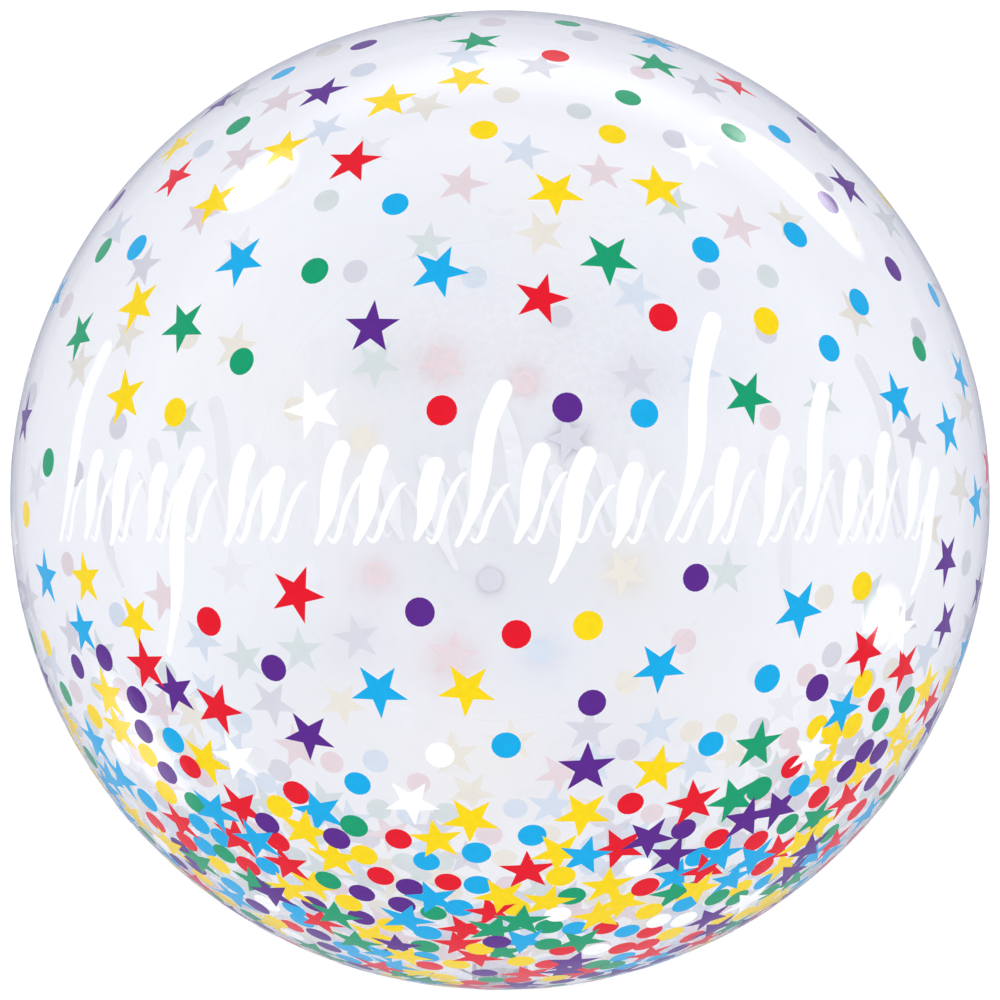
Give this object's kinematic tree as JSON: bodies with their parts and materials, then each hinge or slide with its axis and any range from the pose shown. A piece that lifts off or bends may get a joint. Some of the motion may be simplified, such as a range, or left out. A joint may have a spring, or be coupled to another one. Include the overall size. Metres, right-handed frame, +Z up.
{
  "type": "clear bubble balloon",
  "caption": "Round clear film balloon with printed stars, dots and brush strokes, a gathered neck and a flat self-sealing filling tail folded against it, lying on its back.",
  "frame": {"origin": "middle of the flat spot that the balloon rests on, under the centre of the ball", "axes": "+Z up, out of the printed front of the balloon; +Y towards its crown and -Y towards its neck and tail; +X across it"},
  "size_m": [0.5598, 0.5628, 0.5583],
  "materials": {
    "clear_film": "glossy clear plastic film with a faint lilac cast",
    "weld": "heat-welded film, a little milky",
    "valve_film": "thin milky film of the self-sealing valve",
    "ink_red": "opaque printing ink, satin gloss",
    "ink_blue": "opaque printing ink, satin gloss",
    "ink_green": "opaque printing ink, satin gloss",
    "ink_yellow": "opaque printing ink, satin gloss",
    "ink_purple": "opaque printing ink, satin gloss",
    "ink_white": "opaque white printing ink, satin gloss"
  },
  "bodies": {
    "root": {"balloon_film": "clear_film"}
  },
  "joints": []
}
